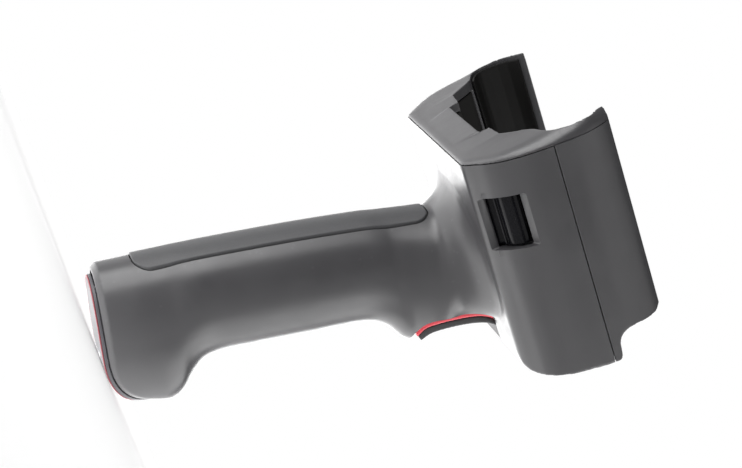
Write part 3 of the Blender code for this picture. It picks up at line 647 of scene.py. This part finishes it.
SHELL_GREY = (0.034, 0.0333, 0.0355)
LINER_BLACK = (0.008, 0.0075, 0.007)
PAD_BLACK = (0.004, 0.0038, 0.0036)

MATERIALS = {
    "housing_plastic": plastic("housing_plastic", SHELL_GREY, 0.37),
    "frame_plastic": plastic("frame_plastic", SHELL_GREY, 0.36),
    "liner_plastic": plastic("liner_plastic", LINER_BLACK, 0.45, 0.5, 0.01, 1.3, specular=0.25),
    "grip_rubber": rubber("grip_rubber", (0.026, 0.026, 0.028), 0.55),
    "pad_rubber": plastic("pad_rubber", PAD_BLACK, 0.5, 0.5, 0.01, 1.3, specular=0.15),
    "trigger_red": plastic("trigger_red", (0.72, 0.040, 0.062), 0.42, 0.4, 0.008, 1.15),
    "trigger_rubber": rubber("trigger_rubber", (0.022, 0.022, 0.023), 0.55),
    "foot_rubber": rubber("foot_rubber", (0.030, 0.029, 0.034), 0.5),
    "accent_red": plastic("accent_red", (0.16, 0.02, 0.028), 0.45, 0.4, 0.008, 1.2),
    "latch_gloss": gloss("latch_gloss", (0.003, 0.003, 0.004)),
    "inner_nylon": plastic("inner_nylon", (0.08, 0.08, 0.085), 0.5, 0.6, 0.01, 1.2),
    "board_laminate": board_laminate("board_laminate"),
    "ribbon_film": plastic("ribbon_film", (0.62, 0.36, 0.10), 0.35, 0.9, 0.004, 1.1),
    "contact_gold": metal("contact_gold", (0.86, 0.62, 0.25), 0.22),
    "steel": metal("steel", (0.55, 0.55, 0.57), 0.28),
}


def piece(obj, slot, body, *replaced, angle=32):
    """Gives obj its material and body, and hides the CAD nodes that it stands for."""
    shade(obj, angle)
    obj.data.materials.clear()
    obj.data.materials.append(MATERIALS[slot])
    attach(obj, body)
    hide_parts(*replaced)
    return obj


def soft_copy(node, slot, voxel, rounds):
    """A CAD node's own shape with eased edges, as a new piece on the handle."""
    copy = bpy.data.objects.new(node + "_eased", frame["nodes"][node].data.copy())
    bpy.context.scene.collection.objects.link(copy)
    soften(copy, voxel, rounds)
    piece(copy, slot, "handle", node)


# ---------------------------------------------------------------- the shell


def head_block(name, top, low_x):
    """The head's outside as a solid block, with its chin."""
    block = prism(name, both_sides(cut_at(wall_half(), top)), low_x, HEAD_FRONT_X, "X")
    chin = smooth(CHIN, 5).tolist() + [(38.0, -16.0), (56.0, -16.0), (56.0, 20.0)]
    return combine(block, prism(name + "_chin", chin, -FAR, FAR, "Y"))


def housing_solid():
    """The housing's outside with eased edges, still solid."""
    solid = head_block("housing", SEAM_Z + 3.0, CREASE_X - 3.0)
    combine(solid, grip_skin("grip"), "UNION")
    combine(solid, sole_zone("sole_cut", SOLE_THICK))
    for raised, inset in COLLARS:
        collar = sole_zone("collar", SOLE_THICK + raised)
        combine(collar, grip_skin("collar_core", inset))
        combine(solid, collar)
    return soften(solid, 0.42, 5)


def strap_solid(name, proud, depth, margin):
    """The strap's outline, from proud of the grip's skin down to depth below it."""
    solid = prism(name, strap_outline(margin), -FAR, 0, "X")
    combine(solid, grip_skin(name + "_outside", -proud), "INTERSECT")
    return combine(solid, grip_skin(name + "_inside", depth))


def hollow(housing):
    """Takes out the inside of the head and the grip, with the seat for the liner."""
    cavity = both_sides(cut_at(wall_half(WALL), SEAM_Z + 6))
    back = CREASE_X + GAP + WALL
    combine(housing, prism("head_cavity", cavity, back, CAVITY_FRONT_X, "X"))
    combine(housing, grip_skin("grip_cavity", GRIP_WALL, top=-6.0))
    under = offset(FLOOR, -LINER_SEAT).tolist()[:-1]
    combine(housing, prism("liner_seat", both_sides(under + SHOULDER_SEAT), -40, FAR, "X"))


def add_windows(housing):
    """The side windows and, inside them, the ribs that carry the latches' pins."""
    for side in (1, -1):
        hole = prism("window", one_side(on_window(WINDOW_HOLE), side), *WINDOW_X, "X")
        combine(housing, bevel(hole, WINDOW_EASE, 60))
        for span in LATCH_RIB_SPANS:
            rib = prism("latch_rib", one_side(LATCH_RIB, side), *span, "X")
            combine(housing, rib, "UNION")


def add_trigger_slot(housing):
    combine(housing, prism("trigger_slot", SLOT_OUTLINE, -SLOT_HALF, SLOT_HALF, "Y"))
    edge = [(29.2, BESIDE_LOW)] + smooth(TRIGGER_SIDE, 4).tolist() + [(34.0, BESIDE_TOP)]
    beside = edge + [(FAR, BESIDE_TOP), (FAR, BESIDE_LOW)]
    combine(housing, prism("trigger_side", beside, -40, 40, "Y"))


def add_bosses(housing):
    for x in SCREW_X:
        for y in (SCREW_Y, -SCREW_Y):
            combine(housing, cylinder("boss", (x, y, -10.4), (x, y, -3.6), BOSS_R), "UNION")
            combine(housing, cylinder("boss_bore", (x, y, -9.0), (x, y, -3.0), BOSS_BORE_R))


def make_housing():
    housing = housing_solid()
    housing.name = "housing_shell"
    combine(housing, box("above_seam", (-FAR, -FAR, SEAM_Z), (FAR, FAR, 40)))
    combine(housing, box("behind_crease", (-FAR, -FAR, -30), (CREASE_X + GAP, FAR, 40)))
    hollow(housing)
    add_windows(housing)
    add_trigger_slot(housing)
    combine(housing, strap_solid("strap_recess", 3.0, STRAP_DEPTH + GAP, 0.35))
    add_bosses(housing)
    piece(housing, "housing_plastic", "handle", "main_housing")


def rim_ring(wall, edge, inner):
    """The section of the frame at one place: along the wall, round the rim and back inside."""
    edge_x = RIM_EDGE_X - RIM_EDGE_LEAN * edge[1]
    inner_x = RIM_BACK_X - RIM_LEAN * inner[1]
    edge_x = max(edge_x, inner_x + 0.15)
    rows = [(x, *wall) for x in np.linspace(HEAD_FRONT_X, CREASE_X, 20)]
    bend = wall + (edge - wall) * RIM_BEND_OUT
    bend_x = CREASE_X + (edge_x - CREASE_X) * RIM_BEND_BACK
    for t in np.linspace(0, 1, 14)[1:]:
        share = np.array(((1 - t) ** 2, 2 * t * (1 - t), t * t))
        y, z = share @ np.array((wall, bend, edge))
        rows.append((share @ np.array((CREASE_X, bend_x, edge_x)), y, z))
    for t in np.linspace(0, 1, 6)[1:]:
        y, z = edge + (inner - edge) * t
        rows.append((edge_x + (inner_x - edge_x) * t, y, z))
    rows += [(x, *inner) for x in np.linspace(inner_x, HEAD_FRONT_X, 20)[1:]]
    return rows


def make_frame():
    half = [rim_ring(*station) for station in zip(*rim_half())]
    other = [[(x, -y, z) for x, y, z in ring] for ring in half[1:]]
    shell = loft("cradle_frame", other[::-1] + half)
    zone = np.vstack([[(FAR, -FAR), (FAR, SEAM_Z + GAP)], SHOULDER_UNDER, [(34.2, 40.0)]])
    zone = np.vstack([zone, mirrored(zone)[::-1]])
    combine(shell, prism("below_seam", zone, CREASE_X, 70, "X"))
    notch = smooth(FRONT_NOTCH, 5).tolist() + [(FAR, 15), (FAR, 45), (33.6, 45)]
    combine(shell, prism("notch", notch, -FAR, FAR, "Y"))
    soften(shell, 0.32, 3)
    wall = wall_half()
    wall = wall[wall[:, 1] > SEAM_Z - 1]
    line = np.vstack([offset(wall, -0.6), offset(wall, CREASE_DEPTH)[::-1]])
    for side in (1, -1):
        span = CREASE_X - CREASE_HALF, CREASE_X + CREASE_HALF
        combine(shell, prism("crease", one_side(line, side), *span, "X"))
    piece(shell, "frame_plastic", "handle", "upper_frame")


def make_strap():
    strap = strap_solid("strap", STRAP_PROUD, STRAP_DEPTH, -0.05)
    soften(strap, 0.3, 3)
    strap.name = "back_strap_insert"
    piece(strap, "grip_rubber", "handle", "back_strap")


def sole_layer(name, raised, lowered, inset):
    """A layer of the sole between two heights above its underside, inside the grip's foot."""
    layer = sole_zone(name, raised, lowered)
    return combine(layer, grip_skin(name + "_edge", inset, HEEL_INSET), "INTERSECT")


def make_foot():
    plate = sole_layer("sole_plate", SOLE_THICK - 0.12, ACCENT_THICK + 0.05, PLATE_INSET)
    combine(plate, sole_layer("sole_core", SOLE_THICK - GAP, 0.0, CORE_INSET), "UNION")
    piece(soften(plate, 0.2, 2), "foot_rubber", "handle", "foot_plate")
    line = sole_layer("sole_line", ACCENT_THICK, 0.0, ACCENT_INSET)
    combine(line, sole_layer("sole_line_inside", 1.0, -1.0, ACCENT_INSIDE))
    piece(soften(line, 0.15, 2), "accent_red", "handle", "foot_accent")


# ---------------------------------------------------------------- trigger, latches, springs


def make_trigger():
    face = smooth(TRIGGER_FACE, 6)
    rear = smooth(TRIGGER_REAR[3:], 4)
    outline = np.vstack([face, TRIGGER_REAR[:3], rear])
    half = node_box("trigger")[1][1]
    trigger = prism("trigger_lever", outline, -half, half, "Y")
    ends = ((PIVOT_X, y, PIVOT_Z) for y in (-12, 12))
    combine(trigger, cylinder("trigger_eye", *ends, TRIGGER_EYE_R))
    combine(trigger, box("spring_well", *SPRING_WELL))
    soften(trigger, 0.25, 3)
    piece(trigger, "trigger_red", "trigger", "trigger")
    make_trigger_pad(face)


def make_trigger_pad(face):
    """The soft pad on the trigger's face, a little clear of it."""
    back = (face[::-1] + (0.25, -0.1))[3:-3]
    outline = np.vstack([back, [PAD_FOOT], smooth(PAD_FRONT, 6)[::-1]])
    half = node_box("trigger_pad")[1][1]
    pad = prism("trigger_grip", outline, -half, half, "Y")
    soften(pad, 0.25, 7)
    piece(pad, "trigger_rubber", "trigger", "trigger_pad")


def make_latches():
    button = [*smooth(BUTTON_FACE, 5), *BUTTON_BACK]
    for side, tag in ((1, "left"), (-1, "right")):
        low, high = node_box("latch_" + tag)
        span = low[0], high[0]
        latch = prism("rocker_" + tag, one_side(on_window(button), side), *span, "X")
        combine(latch, prism("hub", one_side(LATCH_HUB, side), *span, "X"), "UNION")
        combine(latch, prism("arm", one_side(LATCH_ARM, side), *LATCH_ARM_X, "X"), "UNION")
        ends = ((x, side * LATCH_Y, LATCH_Z) for x in (-22, 3))
        combine(latch, cylinder("eye", *ends, LATCH_EYE_R))
        soften(latch, 0.22, 3)
        piece(latch, "latch_gloss", "latch_" + tag, "latch_" + tag)


def coil(name, start, end, radius, wire, turns):
    """A level spring of round wire between two points, its first and last turns closed up."""
    along = end - start
    length = np.linalg.norm(along)
    along /= length
    across = np.cross(along, (0, 0, 1))
    turn = np.linspace(0, turns, 32 * turns)
    first, second = wire / 2, wire * 1.7
    levels = (first, second, length - second, length - first)
    rise = np.interp(turn, (0, 1, turns - 1, turns), levels)
    angle = math.tau * turn[:, None]
    outward = np.cos(angle) * across + np.sin(angle) * np.cross(along, across)
    path = start + rise[:, None] * along + radius * outward
    side = np.cross(np.gradient(path, axis=0), outward)
    side /= np.linalg.norm(side, axis=1)[:, None]
    round_wire = np.linspace(0, math.tau, 12, endpoint=False)
    rings = [path + wire / 2 * (math.cos(a) * outward + math.sin(a) * side) for a in round_wire]
    return loft(name, np.stack(rings, axis=1))


def make_spring(node, axis, wire, turns):
    """A coil in the CAD spring's place, carried by the handle."""
    low, high = node_box(node)
    fixed, free = (low + high) / 2, (low + high) / 2
    fixed[axis], free[axis] = sorted((low[axis], high[axis]), key=abs)
    radius = (high[2] - low[2] - wire) / 2
    spring = coil(node + "_coil", fixed, free, radius, wire, turns)
    piece(spring, "steel", "handle", node, angle=60)
    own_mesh(spring)


def make_springs():
    make_spring("trigger_spring", 0, 0.5, 7)
    for side in ("left", "right"):
        make_spring("latch_spring_" + side, 1, 0.35, 5)


# ---------------------------------------------------------------- carried-over nodes


def dress_nodes():
    """Gives the CAD nodes that still show the materials that the record names."""
    slots = {entry["node"]: entry["material_slot"] for entry in frame["record"]["subparts"]}
    for name, node in frame["nodes"].items():
        if node.hide_render:
            continue
        node.data.materials.clear()
        node.data.materials.append(MATERIALS[slots[name]])
        shade(node, 40)


# ---------------------------------------------------------------- stage, lights, camera

CAMERA_AT = Vector((-0.24844, -0.60913, -0.12874))
CAMERA_TURN = Euler([math.radians(v) for v in (110.257, -67.464, -40.391)], "XYZ")
CAMERA_LENS = 97.035
FLOOR_REACH, FLOOR_BACK_Y = 1000, 430


def make_camera():
    camera = bpy.data.objects.new("camera", bpy.data.cameras.new("camera"))
    bpy.context.scene.collection.objects.link(camera)
    camera.location = CAMERA_AT
    camera.rotation_euler = CAMERA_TURN
    camera.data.lens = CAMERA_LENS
    bpy.context.scene.camera = camera


def make_floor():
    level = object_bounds()[0][2] / MM - 0.2
    low = (-FLOOR_REACH, -FLOOR_REACH, level - 5)
    floor = box("floor", low, (FLOOR_REACH, FLOOR_BACK_Y, level))
    m = Nodes("floor_paper")
    fibres = m.noise(900.0, 4.0)
    paper = m.mix(m.ramp(fibres, 0, 1), (0.86, 0.86, 0.86), (0.90, 0.90, 0.90))
    m.link(paper, m.shader.inputs["Base Color"])
    m.link(m.ramp(fibres, 0.8, 0.9), m.shader.inputs["Roughness"])
    m.shader.inputs["Emission Color"].default_value = (1, 1, 1, 1)
    m.shader.inputs["Emission Strength"].default_value = 0.15
    floor.data.materials.append(m.material)
    floor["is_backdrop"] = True


def area_light(name, place, aim, size, power):
    """A soft rectangular light, with its place and aim in metres, that the camera doesn't see."""
    light = bpy.data.lights.new(name, "AREA")
    light.shape = "RECTANGLE"
    light.size, light.size_y = size
    light.energy = power
    obj = bpy.data.objects.new(name, light)
    bpy.context.scene.collection.objects.link(obj)
    obj.location = Vector(place)
    obj.rotation_euler = (Vector(aim) - Vector(place)).to_track_quat("-Z", "Y").to_euler()
    obj.visible_camera = False


def make_world():
    """A white studio: bright behind the object, dim above it and on the camera's side."""
    world = bpy.data.worlds.new("studio")
    bpy.context.scene.world = world
    world.use_nodes = True
    tree = world.node_tree
    background = tree.nodes["Background"]
    background.inputs["Color"].default_value = (1, 1, 1, 1)
    place = tree.nodes.new("ShaderNodeTexCoord")
    slope = tree.nodes.new("ShaderNodeVectorMath")
    slope.operation = "DOT_PRODUCT"
    slope.inputs[1].default_value = (0.1, 0.7, -0.7)
    tree.links.new(place.outputs["Generated"], slope.inputs[0])
    level = tree.nodes.new("ShaderNodeMapRange")
    tree.links.new(slope.outputs["Value"], level.inputs["Value"])
    for socket, value in (("From Min", -0.3), ("From Max", 0.9), ("To Min", 0.15), ("To Max", 1.5)):
        level.inputs[socket].default_value = value
    rays = tree.nodes.new("ShaderNodeLightPath")
    pick = tree.nodes.new("ShaderNodeMix")
    tree.links.new(rays.outputs["Is Camera Ray"], pick.inputs["Factor"])
    tree.links.new(level.outputs["Result"], pick.inputs["A"])
    pick.inputs["B"].default_value = 1.0
    tree.links.new(pick.outputs["Result"], background.inputs["Strength"])


def make_studio():
    scene = bpy.context.scene
    scene.view_settings.view_transform = "Standard"
    make_world()
    make_floor()
    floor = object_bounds()[0][2] - 0.0001
    area_light("light_table", (0, 0.38, floor), (0, 0.38, 1), (1.4, 0.9), 9.0)
    area_light("back_softbox", (0.35, 0.5, -0.02), (0.35, 0, -0.02), (0.7, 0.22), 2.2)
    area_light("top_softbox", (-0.75, -0.2, 0.05), (0, 0, -0.05), (0.9, 0.35), 7.5)
    area_light("front_softbox", (0.7, -0.35, -0.05), (0, 0, -0.05), (0.8, 0.6), 7.5)
    area_light("high_softbox", (0.35, -0.5, 0.45), (0, 0, 0), (0.6, 0.6), 1.3)


# ---------------------------------------------------------------- build

make_camera()
make_housing()
make_frame()
make_strap()
make_foot()
make_trigger()
make_latches()
make_springs()
soft_copy("cradle_liner", "liner_plastic", 0.35, 2)
soft_copy("trigger_carrier", "inner_nylon", 0.3, 2)
soft_copy("contact_strip", "inner_nylon", 0.25, 1)
for cheek in ("left", "right"):
    soft_copy("cheek_pad_" + cheek, "pad_rubber", 0.25, 3)
dress_nodes()
make_studio()
